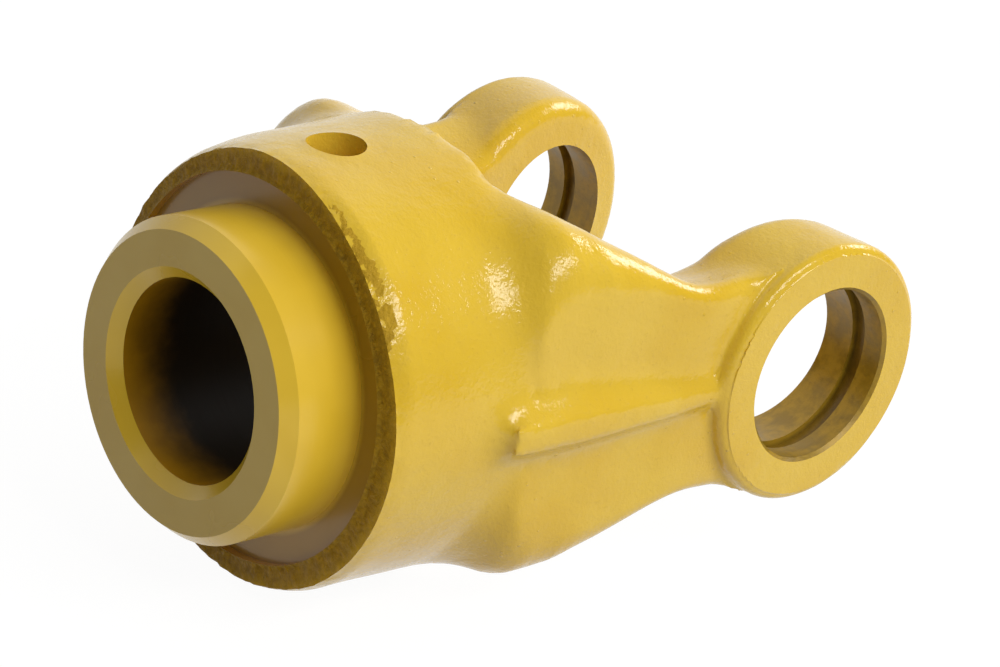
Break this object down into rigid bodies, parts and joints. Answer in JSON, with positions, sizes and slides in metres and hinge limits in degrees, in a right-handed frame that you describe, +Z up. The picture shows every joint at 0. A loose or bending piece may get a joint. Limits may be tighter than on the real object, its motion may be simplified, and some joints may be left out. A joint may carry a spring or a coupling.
{
  "type": "forged yoke",
  "caption": "Forged universal joint yoke: hub with a spigot and a shaft bore, and two ribbed arms ending in bored ears for the bearing cups of a cross.",
  "frame": {"origin": "joint centre, where the hub axis meets the bearing axis", "axes": "+X along the hub axis from the spigot to the ears, +Y along the bearing axis, +Z up"},
  "size_m": [0.1335, 0.089, 0.0788],
  "materials": {
    "yellow_paint": "gloss paint over shot-blasted forged steel, thin on the machined faces"
  },
  "bodies": {
    "root": {"yoke": "yellow_paint"}
  },
  "joints": []
}
